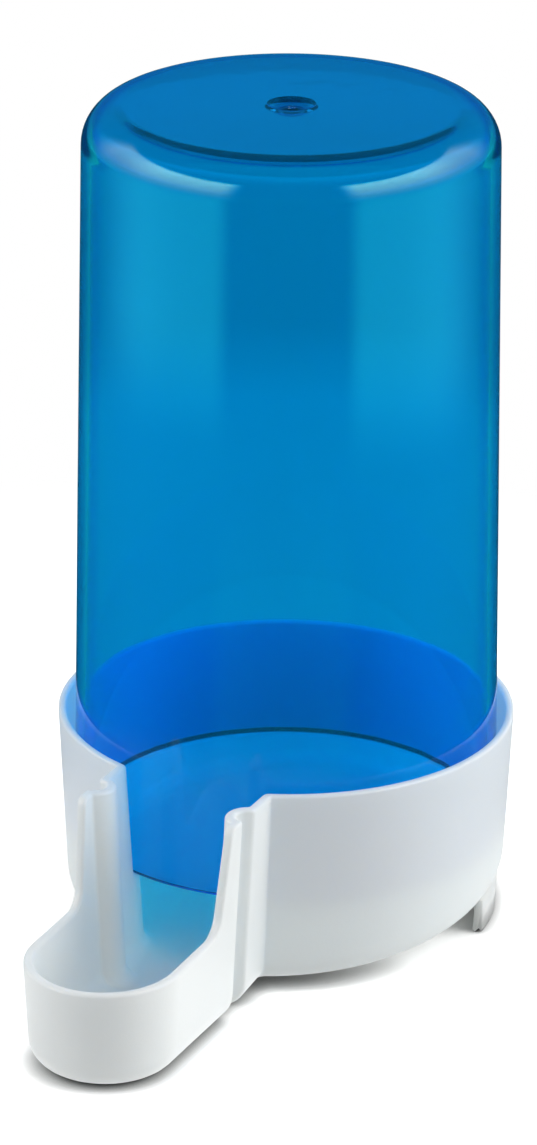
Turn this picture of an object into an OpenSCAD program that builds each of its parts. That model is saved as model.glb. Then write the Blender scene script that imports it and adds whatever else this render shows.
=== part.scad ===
// A clip-on bird cage waterer in two mouldings: a transparent tube, closed at the top and
// open at the bottom, that stands mouth down in a white cup with a drinking trough.
// Millimetres. The ground is z = 0, +Z is up, and the trough points along -Y.

/* [Reservoir tube] */
// Outer radius at the open mouth
tube_mouth_r = 26.15; // [20:0.05:35]
// Length from the mouth to the flat top
tube_len = 91.7; // [50:0.1:130]
// Wall thickness
tube_wall = 1.2; // [0.8:0.1:2]
// Draft of the wall, narrower towards the top
tube_draft = 0.83; // [0:0.01:1.5]
// Outer radius of the rounded shoulder
tube_shoulder_r = 5; // [2.5:0.1:9]
// Radius of the round gate dimple in the top
dimple_r = 2.9; // [1.5:0.1:4]
// Depth of the gate dimple
dimple_depth = 0.8; // [0.3:0.1:1.2]
// Radius of the trimmed gate nub in the dimple
nub_r = 0.45; // [0.2:0.05:0.8]
// Height of the nub above the dimple's floor
nub_h = 0.5; // [0.2:0.1:1]

/* [Collar and cup] */
// Height of the ledge that the tube's mouth stands on
seat_z = 11.5; // [10:0.1:16]
// Height of the collar above the ledge
collar_h = 14.8; // [8:0.1:22]
// Wall thickness of the collar
collar_wall = 1.0; // [0.8:0.1:2]
// Draft of the collar and cup, wider towards the rim
collar_draft = 2.75; // [0.5:0.05:4]
// Width of the ledge
ledge_w = 1.6; // [1:0.1:2.4]
// Thickness of the floor, and of the neck and trough walls
floor_t = 1.2; // [0.8:0.1:1.6]
// Height of the cup's underside on the tube's axis
underside_z = 3.65; // [2.8:0.05:4.6]
// Fall of the floor towards the trough, as rise over run
floor_slope = 0.12; // [0.09:0.005:0.14]
// Outer rounding between the cup's wall and its underside
cup_fillet = 3.4; // [2.2:0.1:3.8]

/* [Neck] */
// Half the neck's outer width at the collar's rim
neck_half_w = 10.3; // [9.5:0.1:12]
// Draft of the sides of the neck and the trough
spout_draft = 2.9; // [0.5:0.05:4]
// Distance from the tube's axis to the neck's front edge, at the rim
neck_reach = 36.5; // [35:0.1:40]
// Lean of the neck's front edge, in degrees from upright
neck_lean = 10; // [2:0.5:14]
// Rounding at the top of the neck's front edge
neck_crown_r = 1.3; // [0.5:0.1:3]
// Rounding between the neck's front edge and the trough's rim
neck_foot_r = 2.6; // [1:0.1:4]

/* [Trough] */
// Height of the trough's rim at the neck
trough_rim_z = 13.3; // [12:0.1:15]
// Fall of the trough's rim towards its tip, in degrees
trough_rim_fall = 1.2; // [0:0.1:3]
// Distance from the tube's axis to the centre of the round end
trough_reach = 49.4; // [44:0.1:60]
// Outer rounding along the trough's bottom edge
trough_fillet = 3.4; // [2:0.1:4.5]

/* [Cage bar grooves] */
// Radius of each groove, for a round bar
groove_r = 1.5; // [1:0.1:2]
// Depth of each groove below the neck's side
groove_depth = 1.65; // [1:0.05:2]
// Distance from the tube's axis to the grooves
groove_reach = 32.3; // [31:0.1:33.5]

/* [Rear skirt] */
// Angle from the trough's direction at which the skirt starts, on either side
skirt_start = 92; // [75:1:140]
// Wall thickness of the skirt
skirt_wall = 1.2; // [0.8:0.1:1.6]
// Distance from the cup's wall line in to the skirt's outer face
skirt_inset = 0.5; // [0.2:0.1:0.9]

/* [Clearances] */
// Radial clearance between the tube's mouth and the collar
mouth_clearance = 0.2; // [0.1:0.05:0.4]
// Gap between the tube's mouth and its ledge
seat_clearance = 0.05; // [0:0.05:0.3]

/* [Hidden] */
$fn = 128;

tube_z0 = seat_z + seat_clearance;
tube_z1 = tube_z0 + tube_len;
rim_z = seat_z + collar_h;
// The socket's radius at the ledge, and the cup's outer radius at the same height
socket_r = tube_mouth_r + mouth_clearance;
seat_out_r = socket_r + collar_wall;
rim_r = seat_out_r + collar_h * tan(collar_draft);
cup_r0 = seat_out_r - seat_z * tan(collar_draft);
cup_in_r0 = socket_r - ledge_w - seat_z * tan(collar_draft);
cup_in_fillet = cup_fillet - floor_t;
// The neck starts inside the cup's wall, and its hollow starts on the cup's flat floor
neck_start = cup_in_r0;
hollow_start = cup_in_r0 - cup_in_fillet - floor_t;
// Half width of the neck and the trough, brought down to the ground plane
spout_w0 = neck_half_w - rim_z * tan(spout_draft);
// The underside meets the ground at this distance from the tube's axis
flat_start = underside_z / floor_slope;
skirt_r0 = cup_r0 - skirt_inset;
// Outermost point of the trough's tip, at its rim
tip_z = trough_rim_z - (trough_reach - neck_reach) * tan(trough_rim_fall);
tip_reach = trough_reach + spout_w0 + tip_z * tan(spout_draft);
// Moves the tube's axis so that the origin is under the middle of the whole part
axis_y = (tip_reach - rim_r) / 2;
// Larger than anything that is cut
big = 4 * (tip_reach + tube_len);
// Past a face, so that a cut leaves no skin
eps = 0.5;

// Half section of a cup: a flat bottom at z0, a wall that leaves radius r0 at z = 0 and
// leans out by draft, and a round corner between them.
module cup_section(r0, z0, z1, draft, corner) {
  corner_z = z0 + corner;
  corner_r = r0 + corner_z * tan(draft) - corner / cos(draft);
  polygon([
    [0, z0],
    [corner_r, z0],
    [corner_r, corner_z],
    [corner_r + corner * cos(draft), corner_z - corner * sin(draft)],
    [r0 + z1 * tan(draft), z1],
    [0, z1]
  ]);
  translate([corner_r, corner_z]) circle(corner);
}

// Tilts level forms to the fall of the floor, and leaves upright lines upright
module tilted() {
  multmatrix([[1, 0, 0, 0], [0, 1, 0, 0], [0, floor_slope, 1, 0], [0, 0, 0, 1]]) children();
}

// Everything under the tilted plane that lies lift above the underside, short of the trough
module below_floor(lift) {
  reach = flat_start + lift / floor_slope;
  rotate([90, 0, -90]) linear_extrude(big, center = true)
    polygon([[reach, 0], [reach, -big], [-big, -big], [-big, (reach + big) * floor_slope]]);
}

// A profile in distance and height, drawn across the whole part
module across() {
  rotate([90, 0, -90]) linear_extrude(big, center = true) children();
}

// Reservoir tube

module tube_outside() {
  top_r = tube_mouth_r - tube_len * tan(tube_draft);
  translate([0, 0, tube_z1]) mirror([0, 0, 1]) rotate_extrude()
    cup_section(top_r, 0, tube_len, tube_draft, tube_shoulder_r);
}

module tube_inside() {
  top_r = tube_mouth_r - tube_len * tan(tube_draft) - tube_wall / cos(tube_draft);
  translate([0, 0, tube_z1]) mirror([0, 0, 1]) rotate_extrude()
    cup_section(top_r, tube_wall, tube_len + eps, tube_draft, tube_shoulder_r - tube_wall);
}

// Ball that leaves a cap of the dimple's radius and depth in the top, grown by skin
module dimple_ball(skin) {
  ball_r = (dimple_r * dimple_r + dimple_depth * dimple_depth) / (2 * dimple_depth);
  translate([0, 0, tube_z1 - dimple_depth + ball_r]) sphere(ball_r + skin);
}

module reservoir() {
  color([0.05, 0.45, 0.8, 0.6]) translate([0, axis_y, 0]) {
    difference() {
      union() {
        difference() {
          tube_outside();
          tube_inside();
        }
        intersection() {
          dimple_ball(tube_wall);
          translate([0, 0, tube_z1 - tube_wall - dimple_depth - eps])
            cylinder(r = 2 * dimple_r, h = tube_wall + dimple_depth + eps);
        }
      }
      dimple_ball(0);
    }
    translate([0, 0, tube_z1 - dimple_depth - tube_wall / 2]) cylinder(r = nub_r, h = tube_wall / 2 + nub_h);
  }
}

// Base

module cup_outside() {
  intersection() {
    tilted() rotate_extrude() cup_section(cup_r0, underside_z, 2 * rim_z, collar_draft, cup_fillet);
    cylinder(r = 2 * rim_r, h = rim_z);
  }
}

module cup_inside() {
  intersection() {
    tilted() rotate_extrude()
      cup_section(cup_in_r0, underside_z + floor_t, 2 * rim_z, collar_draft, cup_in_fillet);
    cylinder(r = 2 * rim_r, h = seat_z + eps / 2);
  }
}

module socket() {
  translate([0, 0, seat_z]) cylinder(
    r1 = socket_r,
    r2 = socket_r + (collar_h + eps) * tan(collar_draft),
    h = collar_h + eps
  );
}

// Neck and trough together, from the distance start to the round tip: inset 0 gives their
// outside, and inset floor_t their hollow
module spout_form(start, inset, top) {
  half_w = spout_w0 - inset / cos(spout_draft);
  corner = trough_fillet - inset;
  translate([0, -start, 0]) rotate([90, 0, 0]) linear_extrude(trough_reach - start)
    for (side = [0, 1]) mirror([side, 0]) cup_section(half_w, inset, top, spout_draft, corner);
  translate([0, -trough_reach, 0]) rotate_extrude() cup_section(half_w, inset, top, spout_draft, corner);
}

// What is cut away above the trough's rim and in front of the neck
module above_trough() {
  across() {
    corner_s = neck_reach + (rim_z - trough_rim_z) * tan(neck_lean);
    far = 2 * tip_reach;
    translate([corner_s, trough_rim_z]) rotate(-trough_rim_fall) translate([far, 0]) mirror([1, 0])
      cup_section(far, 0, 2 * collar_h, neck_lean + trough_rim_fall, neck_foot_r);
    translate([neck_reach, rim_z]) difference() {
      translate([-neck_crown_r, -neck_crown_r]) square(2 * neck_crown_r);
      translate([-neck_crown_r, -neck_crown_r]) circle(neck_crown_r);
    }
  }
}

// Round bar form along each side of the neck, leaning with its draft
module groove_bars(r) {
  for (side = [0, 1]) mirror([side, 0, 0])
    translate([neck_half_w - groove_depth + groove_r, -groove_reach, rim_z]) rotate([0, spout_draft, 0])
      cylinder(r = r, h = 3 * rim_z, center = true);
}

module spout_outside() {
  difference() {
    spout_form(neck_start, 0, rim_z);
    below_floor(0);
    above_trough();
    groove_bars(groove_r);
  }
}

module spout_inside() {
  difference() {
    spout_form(hollow_start, floor_t, rim_z + eps);
    below_floor(floor_t);
    groove_bars(groove_r + floor_t);
  }
}

// Curved foot wall under the back of the cup, cut off inside the floor
module rear_skirt() {
  top_z = underside_z + floor_slope * rim_r + floor_t;
  lean = tan(collar_draft);
  intersection() {
    rotate([0, 0, skirt_start - 90]) rotate_extrude(angle = 360 - 2 * skirt_start)
      polygon([
        [skirt_r0 - skirt_wall, 0],
        [skirt_r0, 0],
        [skirt_r0 + top_z * lean, top_z],
        [skirt_r0 + top_z * lean - skirt_wall, top_z]
      ]);
    below_floor(floor_t);
  }
}

module base() {
  color([0.9, 0.91, 0.92]) translate([0, axis_y, 0])
    difference() {
      union() {
        cup_outside();
        spout_outside();
        rear_skirt();
      }
      cup_inside();
      socket();
      spout_inside();
    }
}

reservoir();
base();
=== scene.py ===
import math

import bpy
import numpy as np
from mathutils import Matrix, Vector


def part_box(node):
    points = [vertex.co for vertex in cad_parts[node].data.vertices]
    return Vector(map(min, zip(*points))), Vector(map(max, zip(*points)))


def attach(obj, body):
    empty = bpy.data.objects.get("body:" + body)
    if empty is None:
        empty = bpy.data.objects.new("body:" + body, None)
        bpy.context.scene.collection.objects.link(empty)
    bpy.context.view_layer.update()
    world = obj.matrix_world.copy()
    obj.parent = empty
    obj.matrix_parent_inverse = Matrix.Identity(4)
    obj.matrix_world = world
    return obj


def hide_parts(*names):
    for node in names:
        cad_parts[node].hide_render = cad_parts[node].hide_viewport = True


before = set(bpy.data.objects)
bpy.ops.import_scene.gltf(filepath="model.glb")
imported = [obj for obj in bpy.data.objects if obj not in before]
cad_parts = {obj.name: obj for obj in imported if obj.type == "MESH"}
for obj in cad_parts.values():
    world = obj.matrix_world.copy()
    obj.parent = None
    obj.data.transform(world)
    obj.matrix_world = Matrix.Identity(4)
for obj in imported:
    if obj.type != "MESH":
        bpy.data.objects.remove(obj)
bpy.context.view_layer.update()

# Reservoir tube: one moulded shell of clear blue plastic, closed at the top and open at the
# mouth, with the trimmed gate in a small round dimple. It stands mouth down on the ledge
# inside the white collar. Its wall is one section turned round the tube's axis.
MM = 0.001
tube_low, tube_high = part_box("reservoir")
axis_y = (tube_low.y + tube_high.y) / 2
mouth_z = tube_low.z / MM
top_z = tube_high.z / MM
mouth_r = (tube_high.x - tube_low.x) / 2 / MM
tube_wall = 1.2
tube_draft = math.radians(0.83)
shoulder_r, inner_shoulder_r = 5.0, 3.4
mouth_round = 0.25
dimple_r, dimple_depth, dimple_round = 2.9, 0.8, 0.25
dish_r, dish_depth, dish_round = 1.74, 0.68, 1.2
boss_r, boss_end_r, boss_foot_round, boss_round = 3.1, 1.885, 0.4, 1.0
nub_r, nub_h, nub_round, nub_foot_round = 0.45, 0.5, 0.12, 0.15
steps_round = 256


def unit(v):
    return v / math.hypot(*v)


def rounded(corners, steps=10, longest=None, end_part=0.15):
    """The line through (x, y, radius) corners, with each corner turned into an arc of that many
    steps. Straight stretches are cut into parts no longer than longest, and a long stretch
    also at end_part from its ends, so that smooth shading turns at the corner alone."""
    line = [np.array(corners[0][:2], float)]
    for before, (x, y, radius), after in zip(corners, corners[1:], corners[2:]):
        corner = np.array((x, y), float)
        back, on = unit(np.array(before[:2]) - corner), unit(np.array(after[:2]) - corner)
        half = math.acos(np.clip(back @ on, -1, 1)) / 2
        centre = corner + unit(back + on) * radius / math.sin(half)
        first = corner + back * radius / math.tan(half) - centre
        turn = math.copysign(math.pi - 2 * half, first[0] * on[1] - first[1] * on[0])
        for a in np.linspace(0, turn, steps + 1):
            c, s = math.cos(a), math.sin(a)
            line.append(centre + (c * first[0] - s * first[1], s * first[0] + c * first[1]))
    line.append(np.array(corners[-1][:2], float))
    if longest is None:
        return np.array(line)
    cut = [line[0]]
    for a, b in zip(line, line[1:]):
        span = math.hypot(*(b - a))
        shares = list(np.linspace(0, 1, math.ceil(span / longest) + 1))
        if span > longest:
            shares[1:1], shares[-1:-1] = [end_part / span], [1 - end_part / span]
        cut += [a + (b - a) * k for k in shares[1:]]
    return np.array(cut)


def new_piece(name, points, edges=(), faces=()):
    """A mesh object at the origin from points in millimetres."""
    mesh = bpy.data.meshes.new(name)
    mesh.from_pydata((np.array(points, float) * MM).tolist(), list(edges), list(faces))
    piece = bpy.data.objects.new(name, mesh)
    bpy.context.scene.collection.objects.link(piece)
    return piece


class Value:
    """One value in a node tree. Sums on it add the Math nodes that work them out."""

    def __init__(self, tree, socket=None):
        self.tree, self.socket = tree, socket

    def node(self, kind, settings=None, out=0, **inputs):
        """Adds a node: its settings first, then the values or links of its sockets."""
        made = self.tree.nodes.new(kind)
        for name, setting in (settings or {}).items():
            if name == "stops":
                ramp = made.color_ramp
                while len(ramp.elements) < len(setting):
                    ramp.elements.new(0.5)
                for element, (place, colour) in zip(ramp.elements, setting):
                    element.position, element.color = place, colour
            else:
                setattr(made, name, setting)
        for name, value in inputs.items():
            numbered = name.startswith("in") and name[2:].isdigit()
            socket = made.inputs[int(name[2:]) if numbered else name.replace("_", " ")]
            if isinstance(value, Value):
                self.tree.links.new(value.socket, socket)
            else:
                socket.default_value = value
        return Value(self.tree, made.outputs[out])

    def maths(self, operation, first, second):
        return self.node("ShaderNodeMath", {"operation": operation}, in0=first, in1=second)

    def vector(self, operation, other=(0, 0, 0), out="Vector"):
        """Vector maths on this value. Lengths and dot products come out at Value."""
        return self.node("ShaderNodeVectorMath", {"operation": operation}, out, in0=self, in1=other)

    def __add__(self, other):
        return self.maths("ADD", self, other)

    def __sub__(self, other):
        return self.maths("SUBTRACT", self, other)

    def __rsub__(self, other):
        return self.maths("SUBTRACT", other, self)

    def __mul__(self, other):
        return self.maths("MULTIPLY", self, other)

    def __truediv__(self, other):
        return self.maths("DIVIDE", self, other)

    def __rtruediv__(self, other):
        return self.maths("DIVIDE", other, self)

    __radd__ = __add__
    __rmul__ = __mul__

    def speckle(self, scale, detail=3.0, roughness=0.5):
        """Noise from 0 to 1 over this position, with scale lumps to a metre."""
        return self.node("ShaderNodeTexNoise", Vector=self, Scale=scale, Detail=detail,
                         Roughness=roughness)

    def between(self, low, high):
        """This value, from 0 to 1, taken to a number or colour from low to high."""
        if isinstance(low, tuple) or isinstance(high, tuple):
            return self.node("ShaderNodeMix", {"data_type": "RGBA"}, 2, in0=self, in6=low, in7=high)
        return self * (high - low) + low

    def mix(self, first, second):
        """The first shader where this value is 0, and the second where it is 1."""
        return self.node("ShaderNodeMixShader", in0=self, in1=first, in2=second)


def ease(value, low, high):
    """0 below low and 1 above high, with a smooth step between."""
    return value.node("ShaderNodeMapRange", {"interpolation_type": "SMOOTHSTEP"}, Value=value,
                      From_Min=low, From_Max=high)


def finish(name):
    """A new material, its output node, and the position on the object to start patterns from."""
    material = bpy.data.materials.new(name)
    material.use_nodes = True
    material.node_tree.nodes.clear()
    here = Value(material.node_tree).node("ShaderNodeTexCoord", out="Object")
    return material, material.node_tree.nodes.new("ShaderNodeOutputMaterial"), here


# Each face that sight passes adds its share of the wall's tint. The tint is deeper where sight
# runs along the wall, as at the tube's edges, and a darker blue is set over the whole dimple.
edge_blue, dimple_blue = (0.0, 0.17, 1.0, 1), (0.01, 0.12, 0.45, 1)
clear_blue, output, here = finish("clear_blue")
flow = here.node("ShaderNodeMapping", Vector=here, Scale=(1, 1, 0.25)).speckle(90, 2.0)
scuffs = here.speckle(2600, 4.0, 0.7)
tint = flow.between((0.002, 0.52, 0.97, 1), (0.004, 0.54, 0.99, 1))
slant = here.node("ShaderNodeLayerWeight", None, "Facing", Blend=0.5)
tint = ease(slant, 0.65, 0.8).between(tint, edge_blue)
off_axis = here.vector("SUBTRACT", (0, axis_y, 0)).vector("MULTIPLY", (1, 1, 0))
off_axis = off_axis.vector("LENGTH", out="Value")
tint = ease(off_axis, (dimple_r - 1.1) * MM, (dimple_r - 0.1) * MM).between(dimple_blue, tint)
waves = flow.node("ShaderNodeBump", Height=flow, Strength=0.1, Distance=0.0004)
wall = here.node(
    "ShaderNodeBsdfPrincipled", None, 0,
    Base_Color=tint, Roughness=scuffs.between(0.015, 0.05), Normal=waves,
    IOR=1.49, Transmission_Weight=0.97, Specular_Tint=(0.34, 0.8, 0.6, 1),
)
lamp_light = here.node("ShaderNodeBsdfTransparent", Color=(0.03, 0.84, 1.0, 1))
both = here.node("ShaderNodeLightPath", out="Is Shadow Ray").mix(wall, lamp_light)
clear_blue.node_tree.links.new(both.socket, output.inputs["Surface"])

# Half section of the wall, from the gate in the middle of the top, through the dimple, out over
# the shoulder, down to the mouth, and back up the inside to the boss under the dimple.
lean = math.tan(tube_draft)
top_r = mouth_r - (top_z - mouth_z) * lean
inner_r = mouth_r - tube_wall / math.cos(tube_draft)
ceiling = top_z - tube_wall
half_section = rounded([
    (0, top_z - dimple_depth + nub_h, 0),
    (nub_r, top_z - dimple_depth + nub_h, nub_round),
    (nub_r, top_z - dimple_depth, nub_foot_round),
    (dish_r, top_z - dish_depth, dish_round),
    (dimple_r, top_z, dimple_round),
    (top_r, top_z, shoulder_r),
    (mouth_r, mouth_z, mouth_round),
    (inner_r, mouth_z, mouth_round),
    (top_r - tube_wall - tube_wall * lean, ceiling, inner_shoulder_r),
    (boss_r, ceiling, boss_foot_round),
    (boss_end_r, ceiling - dimple_depth, boss_round),
    (0, ceiling - dimple_depth, 0),
], steps=14, longest=4.0)

# The section is turned round the axis: it is swept along a ring of the mouth's radius, and
# the points that meet on the axis are merged, which closes the top.
turned = bpy.data.node_groups.new("turned wall", "GeometryNodeTree")
sockets = {}
for name, kind in (("Section", "Geometry"), ("Ring radius", "Float"), ("Steps round", "Int"),
                   ("Join within", "Float"), ("Finish", "Material")):
    made = turned.interface.new_socket(name, in_out="INPUT", socket_type="NodeSocket" + kind)
    sockets[name] = made.identifier
turned.interface.new_socket("Wall", in_out="OUTPUT", socket_type="NodeSocketGeometry")
given = turned.nodes.new("NodeGroupInput")
want = {name: Value(turned, given.outputs[name]) for name in sockets}
section = want["Section"].node("GeometryNodeMeshToCurve", Mesh=want["Section"])
ring = section.node("GeometryNodeCurvePrimitiveCircle", Radius=want["Ring radius"],
                    Resolution=want["Steps round"])
skin = section.node("GeometryNodeCurveToMesh", Curve=ring, Profile_Curve=section)
joined = skin.node("GeometryNodeMergeByDistance", Geometry=skin, Distance=want["Join within"])
smooth = joined.node("GeometryNodeSetShadeSmooth", Geometry=joined, Shade_Smooth=True)
real = smooth.node("GeometryNodeRealizeInstances", Geometry=smooth)
done = real.node("GeometryNodeSetMaterial", Geometry=real, Material=want["Finish"])
turned.links.new(done.socket, turned.nodes.new("NodeGroupOutput").inputs["Wall"])

count = len(half_section)
seed = new_piece(
    "tube_section",
    [(r - mouth_r, -z, 0) for r, z in half_section],
    [(k, k + 1) for k in range(count - 1)],
)
spin = seed.modifiers.new("turned wall", "NODES")
spin.node_group = turned
spin[sockets["Ring radius"]] = mouth_r * MM
spin[sockets["Steps round"]] = steps_round
spin[sockets["Join within"]] = 1e-6
spin[sockets["Finish"]] = clear_blue
evaluated = seed.evaluated_get(bpy.context.evaluated_depsgraph_get())
tube = bpy.data.objects.new("reservoir_tube", bpy.data.meshes.new_from_object(evaluated))
bpy.context.scene.collection.objects.link(tube)
bpy.data.objects.remove(seed)
tube.data.transform(Matrix.Translation((0, axis_y, 0)))
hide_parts("reservoir")
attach(tube, "reservoir")

# Base: one white moulding, satin outside. Its round cup and collar hold the tube's mouth, the
# floor falls to a neck with a groove for a cage bar in each side, and the open trough stands
# inside the cage. Every level of its walls is the same outline seen from above, drawn in.
base_low, base_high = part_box("base")
rim_z = base_high.z / MM
rim_r = (base_high.x - base_low.x) / 2 / MM
collar_wall, spout_wall = 1.0, 1.2
ledge_z, ledge_w = mouth_z - 0.05, 1.6
collar_lean, spout_lean = math.tan(math.radians(2.75)), math.tan(math.radians(2.9))
underside_z, floor_fall, floor_t = 3.65, 0.12, 1.2
bottom_round, floor_round = 3.4, 2.2
neck_w, neck_reach, neck_lean = 10.3, 36.5, math.tan(math.radians(10))
trough_rim, trough_fall, trough_reach = 13.3, math.tan(math.radians(1.2)), 49.4
groove_at, groove_r, groove_depth = 32.3, 1.5, 1.65
side_start, crown_round, foot_round = 35.3, 1.3, 2.6
lip_round, rim_round, ledge_round = 0.45, 0.4, 0.25
corner_out, corner_in = 0.25, 0.95

# The rim seen from the side, from the grooves forward: over the neck's crown, down its leaning
# front edge, round the foot and along the trough.
foot_at = neck_reach + (rim_z - trough_rim) * neck_lean
side_rim = rounded([
    (side_start, rim_z, 0),
    (neck_reach, rim_z, crown_round),
    (foot_at, trough_rim, foot_round),
    (trough_reach, trough_rim - (trough_reach - foot_at) * trough_fall, 0),
], steps=10, longest=1.2)[1:-1]
side_turn = np.gradient(side_rim, axis=0)
side_out = np.stack([-side_turn[:, 1], side_turn[:, 0]], 1) / np.hypot(*side_turn.T)[:, None]

# Half of the outline goes from the back round the collar, in at the corner, along the flank,
# over the groove and along the trough to its tip. Each column of points has a stretch and a
# share of the way along it.
stretches = {"collar": 56, "corner": 8, "flank": 5, "lip": 5, "groove": 14, "far_lip": 5, "shank": 2,
             "side": len(side_rim), "tip": 24}
stretch = np.repeat(list(stretches), list(stretches.values()))
share = np.concatenate([np.arange(n) / n for n in stretches.values()][:-1]
                       + [np.linspace(0, 1, stretches["tip"])])
columns = len(share)
on = {name: stretch == name for name in stretches}


def spread(side, others):
    """Values for the side columns, with one value for all the other columns."""
    all_columns = np.full(columns, float(others))
    all_columns[on["side"]] = side
    return all_columns


rim_along = spread(side_rim[:, 0], 0)
rim_forward, rim_upward = spread(side_out[:, 0], 0), spread(side_out[:, 1], 1)
rim_height = spread(side_rim[:, 1], rim_z)
tip_along = trough_reach + neck_w * np.sin(share * math.pi / 2)
rim_height[on["tip"]] = (trough_rim - (tip_along - foot_at) * trough_fall)[on["tip"]]


def outline(disc_r, half_w, corner_r, groove, groove_out, lip_r, along):
    """The half outline for a collar radius, a half width of the spout and the roundings."""
    x, s = np.zeros(columns), np.zeros(columns)
    corner_x = half_w + corner_r
    corner_s = np.sqrt((disc_r + corner_r) ** 2 - corner_x ** 2)
    groove_x = half_w + groove_out
    lip_s = np.sqrt((groove + lip_r) ** 2 - (groove_out + lip_r) ** 2)
    bite = np.arctan2(lip_s, groove_out + lip_r)

    def arc(name, centre_x, centre_s, radius, turn):
        x[on[name]] = (centre_x + radius * np.cos(turn))[on[name]]
        s[on[name]] = (centre_s + radius * np.sin(turn))[on[name]]

    opening = np.arctan2(corner_s, corner_x)
    arc("collar", 0, 0, disc_r, -math.pi / 2 + (opening + math.pi / 2) * share)
    arc("corner", corner_x, corner_s, corner_r, math.pi + opening * (1 - share))
    arc("flank", half_w, corner_s + (groove_at - lip_s - corner_s) * share, 0, share)
    arc("lip", half_w - lip_r, groove_at - lip_s, lip_r, bite * share)
    arc("groove", groove_x, groove_at, groove, math.pi + bite * (1 - 2 * share))
    arc("far_lip", half_w - lip_r, groove_at + lip_s, lip_r, bite * (share - 1))
    shank = groove_at + lip_s
    arc("shank", half_w, shank + (side_rim[0, 0] - shank) * share, 0, share)
    arc("side", half_w, along, 0, share)
    arc("tip", 0, trough_reach, half_w, share * math.pi / 2)
    return x, s


def outside(z, inset=0.0, shift=0.0, along=rim_along):
    """Outline of the outer face at height z, less a rim rounding (inset) or a fillet (shift)."""
    return outline(
        rim_r - (rim_z - z) * collar_lean - inset - shift,
        neck_w - (rim_z - z) * spout_lean - inset - shift,
        corner_out + inset + shift, groove_r + inset, groove_r - groove_depth + inset,
        lip_round - inset, along,
    )


def inside(z, step=0.0, inset=0.0, shift=0.0, along=rim_along):
    """Outline of the inner face, drawn in by the ledge (step), out by the rim rounding (inset)."""
    return outline(
        rim_r - collar_wall - (rim_z - z) * collar_lean - step + inset - shift,
        neck_w - spout_wall - (rim_z - z) * spout_lean + inset - shift,
        corner_in - inset + shift, groove_r + spout_wall - inset,
        groove_r + spout_wall - groove_depth - inset, lip_round + inset, along,
    )


def underneath(s):
    """Height of the underside, which falls forward until it rests on the ground."""
    return np.maximum(0, underside_z - floor_fall * s)


def floor_level(s):
    """Height of the floor inside, one floor's thickness over the underside."""
    return underneath(s) + floor_t


def fillet_ring(face, level, radius, draft, turn, **more):
    """One ring of the fillet between a wall and the bottom or floor below it. The ring's place
    and the level under it depend on each other, so they are found in a few rounds."""
    shift = radius / math.cos(draft) - radius * math.cos(turn)
    x, s = face(np.full(columns, rim_z), **more)
    for _ in range(4):
        x, s = face(level(s) + radius, shift=shift, **more)
    return x, s, level(s) + radius * (1 - math.sin(turn))


draft = math.radians(2.8)
quarter = np.linspace(draft, math.pi / 2, 10)
rim_turns = np.linspace(0, math.pi / 2, 7)
up_wall = (0.02, 0.1, 0.3, 0.5, 0.7, 0.9)
below_round = rim_along - rim_forward * rim_round
rings = []

# From the underside up the outer face.
for turn in quarter[::-1]:
    rings.append(fillet_ring(outside, underneath, bottom_round, draft, turn, along=below_round))
low, high = rings[-1][2], rim_height - rim_upward * rim_round
for part in (*up_wall, 0.98):
    z = low + (high - low) * part
    rings.append((*outside(z, along=below_round), z))

# Over the rounded rim.
for face, turns in ((outside, rim_turns), (inside, rim_turns[::-1])):
    for turn in turns:
        inset, depth = rim_round * (1 - math.cos(turn)), rim_round * (1 - math.sin(turn))
        z = rim_height - rim_upward * depth
        rings.append((*face(z, inset=inset, along=rim_along - rim_forward * depth), z))

# Down the socket to the ledge, in over the ledge, and down to the floor.
low = ledge_z + 2 * ledge_round
for part in (*up_wall, 1.0):
    z = high + (low - high) * part
    rings.append((*inside(z, along=below_round), z))
over_ledge = rounded([(0, 2 * ledge_round, 0), (0, 0, ledge_round), (ledge_w, 0, ledge_round),
                      (ledge_w, -2 * ledge_round, 0)], steps=5)
on_wall = np.where(on["collar"], 0.0, 1.0)
on_wall[on["corner"]] = share[on["corner"]]
for k, (step, lift) in enumerate(over_ledge[1:], 1):
    straight = 2 * ledge_round * (1 - 2 * k / (len(over_ledge) - 1))
    z = ledge_z + lift + (straight - lift) * on_wall
    rings.append((*inside(z, step=step, along=below_round), z))
foot_ring = fillet_ring(inside, floor_level, floor_round, draft, draft, step=ledge_w, along=below_round)
high, low = rings[-1][2], foot_ring[2]
for part in (0.1, 0.5, 0.9):
    z = high + (low - high) * part
    rings.append((*inside(z, step=ledge_w, along=below_round), z))
for turn in quarter:
    rings.append(fillet_ring(inside, floor_level, floor_round, draft, turn, step=ledge_w,
                             along=below_round))

# Both halves of each ring make a loop, the loops are joined by faces, and strips across the
# width close the underside and the floor.
loop = 2 * (columns - 1)
points, faces = [], []
for x, s, z in rings:
    half = np.stack([x, axis_y / MM - s, z], 1)
    half[[0, -1], 0] = 0
    points += [*half, *(half[-2:0:-1] * (-1, 1, 1))]
for k in range(len(rings) - 1):
    for j in range(loop):
        on_j = (j + 1) % loop
        faces.append([k * loop + j, (k + 1) * loop + j, (k + 1) * loop + on_j, k * loop + on_j])
for k, flip in ((0, -1), (len(rings) - 1, 1)):
    for j in range(columns - 1):
        strip = [k * loop + i % loop for i in (loop - j, loop - j - 1, j + 1, j)]
        faces.append(list(dict.fromkeys(strip))[::flip])

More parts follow.
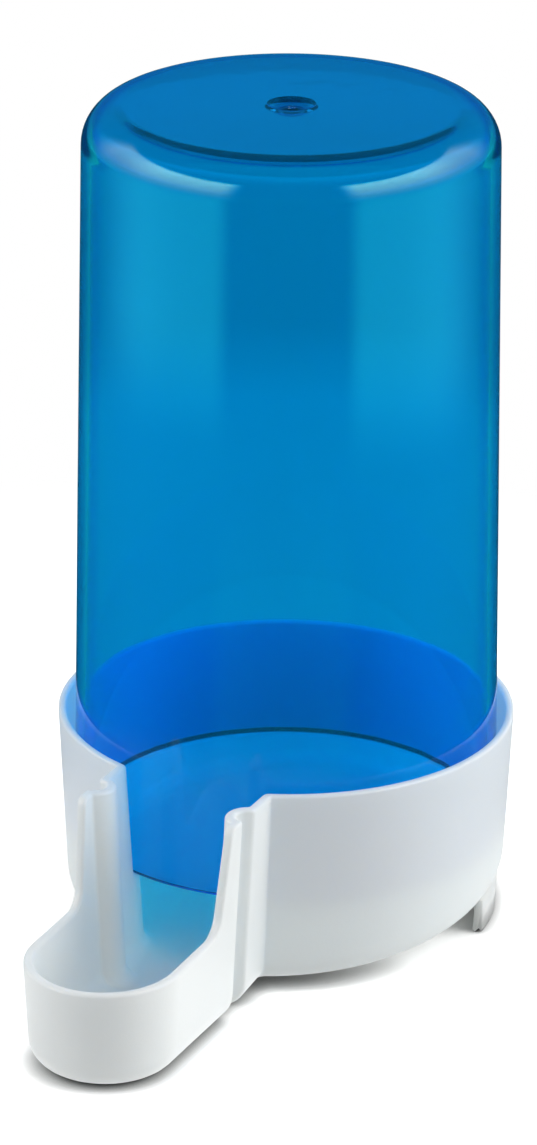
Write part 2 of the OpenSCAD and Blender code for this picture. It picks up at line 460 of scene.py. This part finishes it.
# The skirt is a thin curved foot under the back half of the cup. Its section is drawn well up
# into the cup and cut off inside the floor.
skirt_start, skirt_wall, skirt_inset, skirt_round = math.radians(92), 1.2, 0.5, 0.3
skirt_steps, skirt_uncut, into_floor = 60, 20, 0.6
skirt_r = rim_r - rim_z * collar_lean - skirt_inset
ends = [(skirt_round * (1 - math.cos(a)), skirt_round * (1 - math.sin(a)))
        for a in np.linspace(0, math.pi / 2, 5)]
sweep = math.pi * 2 - 2 * skirt_start
slices = [(skirt_start + along / skirt_r, drawn) for along, drawn in ends]
slices += [(skirt_start + sweep * k / skirt_steps, 0) for k in range(1, skirt_steps)]
slices += [(skirt_start + sweep - along / skirt_r, drawn) for along, drawn in ends[::-1]]
first = len(points)
for angle, drawn in slices:
    section = rounded([
        (drawn, skirt_uncut, 0), (drawn, drawn, skirt_round),
        (skirt_wall - drawn, drawn, skirt_round), (skirt_wall - drawn, skirt_uncut, 0),
    ], steps=5)
    for inward, z in section:
        z = min(z, underside_z - floor_fall * skirt_r * math.cos(angle) + into_floor)
        r = skirt_r - inward + z * collar_lean
        points.append((r * math.sin(angle), axis_y / MM - r * math.cos(angle), z))
across = len(section)
for k in range(len(slices) - 1):
    for j in range(across):
        a, b = first + k * across, first + (k + 1) * across
        on_j = (j + 1) % across
        faces.append([a + j, a + on_j, b + on_j, b + j])
faces.append([first + j for j in range(across)][::-1])
faces.append([first + (len(slices) - 1) * across + j for j in range(across)])

cup = new_piece("cup_and_trough", points, faces=faces)
cup.data.polygons.foreach_set("use_smooth", [True] * len(faces))

satin_white, output, here = finish("satin_white")
cloud = here.speckle(60, 3.0)
grain = here.speckle(2200, 3.0, 0.6)
colour = cloud.between((0.83, 0.858, 0.84, 1), (0.86, 0.888, 0.87, 1))
bumps = grain.node("ShaderNodeBump", Height=grain, Strength=0.12, Distance=0.0001)
skin = here.node(
    "ShaderNodeBsdfPrincipled", None, 0,
    Base_Color=colour, Roughness=grain.between(0.38, 0.5), Normal=bumps,
    IOR=1.49, Subsurface_Weight=0.5, Subsurface_Radius=(1.0, 1.0, 1.0), Subsurface_Scale=0.004,
)
satin_white.node_tree.links.new(skin.socket, output.inputs["Surface"])
cup.data.materials.append(satin_white)
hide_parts("base")
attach(cup, "base")

# Stage: a wide white floor that keeps the part's shadow, an even white room, soft boxes at both
# sides and overhead, and a tent round it all that only reflections and bent light show. The
# tent and the floor are bright at both sides of the camera, and dark in front and behind.
camera_turn = math.radians(25.1)


def ray(here, kind):
    """1 for this kind of ray, and 0 for the rest."""
    return here.node("ShaderNodeLightPath", out=f"Is {kind} Ray")


def seen_from_above(here):
    """Where a point of the stage lies round the part: how far to either side of the camera and
    how far towards it, as shares of its distance, and that distance in metres."""
    flat = here.vector("MULTIPLY", (1, 1, 0))
    apart = flat.vector("LENGTH", out="Value")
    c, s = math.cos(camera_turn), math.sin(camera_turn)
    aside = flat.vector("DOT_PRODUCT", (c, s, 0), "Value") / apart
    towards = flat.vector("DOT_PRODUCT", (s, -c, 0), "Value") / apart
    return aside.maths("ABSOLUTE", aside, 0), towards, apart


floor_reach = 2000
floor = new_piece("floor", [(x * floor_reach, y * floor_reach, 0)
                            for x, y in ((-1, -1), (1, -1), (1, 1), (-1, 1))], faces=[(0, 1, 2, 3)])
white_floor, output, here = finish("white_floor")
side, towards, apart = seen_from_above(here)
side = ease(side, 0.5, 0.68)
lit = ease(towards, -0.6, 0.2)
beside = 1 - ease(apart, 0.05, 0.062)
near = 1 - ease(apart, 0.12, 0.24)
far = ease(apart, 0.2, 0.27)

# Reflections show a floor that is white close to the part and blue further out.
mirror_tint = ease(apart, 0.06, 0.09).between((1, 1, 1, 1), (0.05, 0.72, 0.98, 1))
mirrored = here.node(
    "ShaderNodeEmission", Color=mirror_tint,
    Strength=0.1 + beside * 0.9 + lit * (side * (0.4 + far * 4.0) + near * (1 - side)),
)

# Through the tube the floor shows in soft rings, by their distance in metres and their grey.
ring_reach = 0.4
ring_greys = ((0.12, 0.88), (0.195, 0.94), (0.23, 0.7), (0.3, 0.7),
              (0.335, 0.84), (0.36, 0.95), (0.38, 0.66))
backdrop = apart.node("ShaderNodeValToRGB", {"stops": [
    (place / ring_reach, (grey, grey * 0.87, grey * 0.6, 1)) for place, grey in ring_greys
]}, Fac=apart / ring_reach)
through = here.node("ShaderNodeEmission", Color=backdrop)

# The camera sees the part's shadow close to it, deepest where they touch, and white beyond.
contact = here.node("ShaderNodeAmbientOcclusion", {"samples": 12}, "Color",
                    Color=(1.8, 1.8, 1.8, 1), Distance=0.0025)
shaded = here.node("ShaderNodeBsdfDiffuse", Color=contact)
white = here.node("ShaderNodeEmission", Color=(1, 1, 1, 1), Strength=1.0)
plain = here.node("ShaderNodeBsdfDiffuse", Color=(0.8, 0.8, 0.8, 1))
look = ease(apart, 0.08, 0.16).mix(shaded, white)
look = ray(here, "Camera").mix(plain, look)
look = ray(here, "Glossy").mix(look, mirrored)
look = ray(here, "Transmission").mix(look, through)
white_floor.node_tree.links.new(look.socket, output.inputs["Surface"])
floor.data.materials.append(white_floor)

tent_r, tent_low, tent_high, panels = 600, 60, 1100, 96
tent_ring = [(tent_r * math.cos(a), tent_r * math.sin(a))
             for a in np.linspace(0, 2 * math.pi, panels, endpoint=False)]
tent = new_piece("tent", [(x, y, z) for z in (tent_low, tent_high) for x, y in tent_ring],
                 faces=[(k, (k + 1) % panels, panels + (k + 1) % panels, panels + k)
                        for k in range(panels)])
cloth, output, here = finish("tent_cloth")
dim_blue, warm_white = (0.05, 0.66, 1.15, 1), (1.0, 0.78, 0.68, 1)
side, towards, apart = seen_from_above(here)
height = here.node("ShaderNodeSeparateXYZ", None, "Z", Vector=here)
bright = ease(side, 0.45, 0.65) * ease(towards, -0.8, -0.5) * (1 - ease(height, 0.53, 0.6))
up_high = ease(height, 0.16, 0.5)
look = here.node(
    "ShaderNodeEmission", Color=(bright * ease(height, 0.06, 0.3)).between(dim_blue, warm_white),
    Strength=0.3 + bright * (0.4 + ease(towards, -0.5, 0.2)) * (2.5 + up_high * 3.8),
)
cloth.node_tree.links.new(look.socket, output.inputs["Surface"])
cloth.cycles.emission_sampling = "NONE"
tent.data.materials.append(cloth)
tent.visible_camera = tent.visible_diffuse = tent.visible_shadow = False

world = bpy.data.worlds.new("room")
world.use_nodes = True
world.node_tree.nodes.clear()
here = Value(world.node_tree)
room = here.node("ShaderNodeBackground", Color=(1, 1, 0.99, 1), Strength=0.29)
overhead = here.node("ShaderNodeBackground", Color=(0.12, 0.72, 0.95, 1), Strength=0.05)
open_white = here.node("ShaderNodeBackground", Color=(1, 1, 1, 1), Strength=1.0)
look = ray(here, "Glossy").mix(room, overhead)
look = (ray(here, "Camera") + ray(here, "Transmission")).mix(look, open_white)
output = world.node_tree.nodes.new("ShaderNodeOutputWorld")
world.node_tree.links.new(look.socket, output.inputs["Surface"])
bpy.context.scene.world = world

box_width = 0.5
middle = Vector((0, axis_y, 0.04))


def soft_box(name, place, power):
    """A square lamp that faces the part, lights it, and shows in no reflection."""
    light = bpy.data.lights.new(name, "AREA")
    light.shape, light.size, light.energy = "SQUARE", box_width, power
    lamp = bpy.data.objects.new(name, light)
    lamp.location = place
    lamp.rotation_euler = (middle - Vector(place)).to_track_quat("-Z", "Y").to_euler()
    lamp.visible_glossy = lamp.visible_transmission = False
    bpy.context.scene.collection.objects.link(lamp)


soft_box("left_box", (-0.5, -0.25, 0.35), 2.0)
soft_box("top_box", (0.1, 0.1, 0.8), 1.65)
soft_box("right_box", (0.54, 0.22, 0.28), 2.65)

# Camera: standing to the front right of the trough, looking down on it through a long lens.
tilt, roll = math.radians(22.007), math.radians(0.4334)
aim_z, off_centre, distance = 0.04357, 0.0023, 0.6684
level = Vector((-math.sin(camera_turn), math.cos(camera_turn), 0))
ahead = math.cos(tilt) * level - math.sin(tilt) * Vector((0, 0, 1))
aside = Vector((math.cos(camera_turn), math.sin(camera_turn), 0))
upward = aside.cross(ahead)
right = math.cos(roll) * aside + math.sin(roll) * upward
up = math.cos(roll) * upward - math.sin(roll) * aside
lens = bpy.data.cameras.new("camera")
lens.sensor_fit, lens.sensor_height, lens.lens = "VERTICAL", 36, 172.27
lens.clip_start, lens.clip_end = 0.01, 20
camera = bpy.data.objects.new("camera", lens)
place = Vector((0, axis_y, aim_z)) - off_centre * aside - distance * ahead
camera.matrix_world = Matrix((
    (right.x, up.x, -ahead.x, place.x),
    (right.y, up.y, -ahead.y, place.y),
    (right.z, up.z, -ahead.z, place.z),
    (0, 0, 0, 1),
))
bpy.context.scene.collection.objects.link(camera)
bpy.context.scene.camera = camera
bpy.context.scene.view_settings.view_transform = "Standard"
